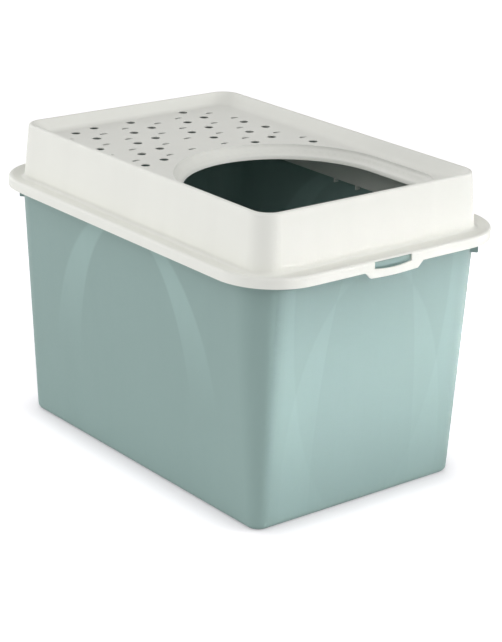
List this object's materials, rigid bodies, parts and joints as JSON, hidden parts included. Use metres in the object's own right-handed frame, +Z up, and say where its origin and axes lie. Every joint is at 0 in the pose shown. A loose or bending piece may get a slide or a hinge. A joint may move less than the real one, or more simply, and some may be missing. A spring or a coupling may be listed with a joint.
{
  "type": "top entry litter box",
  "caption": "Deep tub with a raised lid that lifts off; a D-shaped entry in the lid's top, a pierced recessed deck behind it, and a snap clip loop at each end.",
  "frame": {"origin": "middle of the floor under the tub", "axes": "+X along the width, +Y along the length towards the pierced deck, with the entry towards -Y, +Z up"},
  "size_m": [0.4, 0.572, 0.3952],
  "materials": {
    "tub_plastic": "grey green satin polypropylene",
    "lid_plastic": "warm white satin polypropylene"
  },
  "bodies": {
    "tub": {"tub": "tub_plastic"},
    "lid": {"lid": "lid_plastic"},
    "front_clip": {"front_clip": "lid_plastic"},
    "rear_clip": {"rear_clip": "lid_plastic"}
  },
  "joints": [
    {"name": "lid_lift", "type": "slide", "parent": "tub", "child": "lid", "axis": [0, 0, 1], "range_m": [0, 0.08]},
    {"name": "front_clip_flex", "type": "hinge", "parent": "lid", "child": "front_clip", "pos_m": [0, -0.286, 0.325], "axis": [-1, 0, 0], "range_deg": [0, 12], "stiffness_Nm_per_rad": 0.5},
    {"name": "rear_clip_flex", "type": "hinge", "parent": "lid", "child": "rear_clip", "pos_m": [0, 0.286, 0.325], "axis": [1, 0, 0], "range_deg": [0, 12], "stiffness_Nm_per_rad": 0.5}
  ]
}
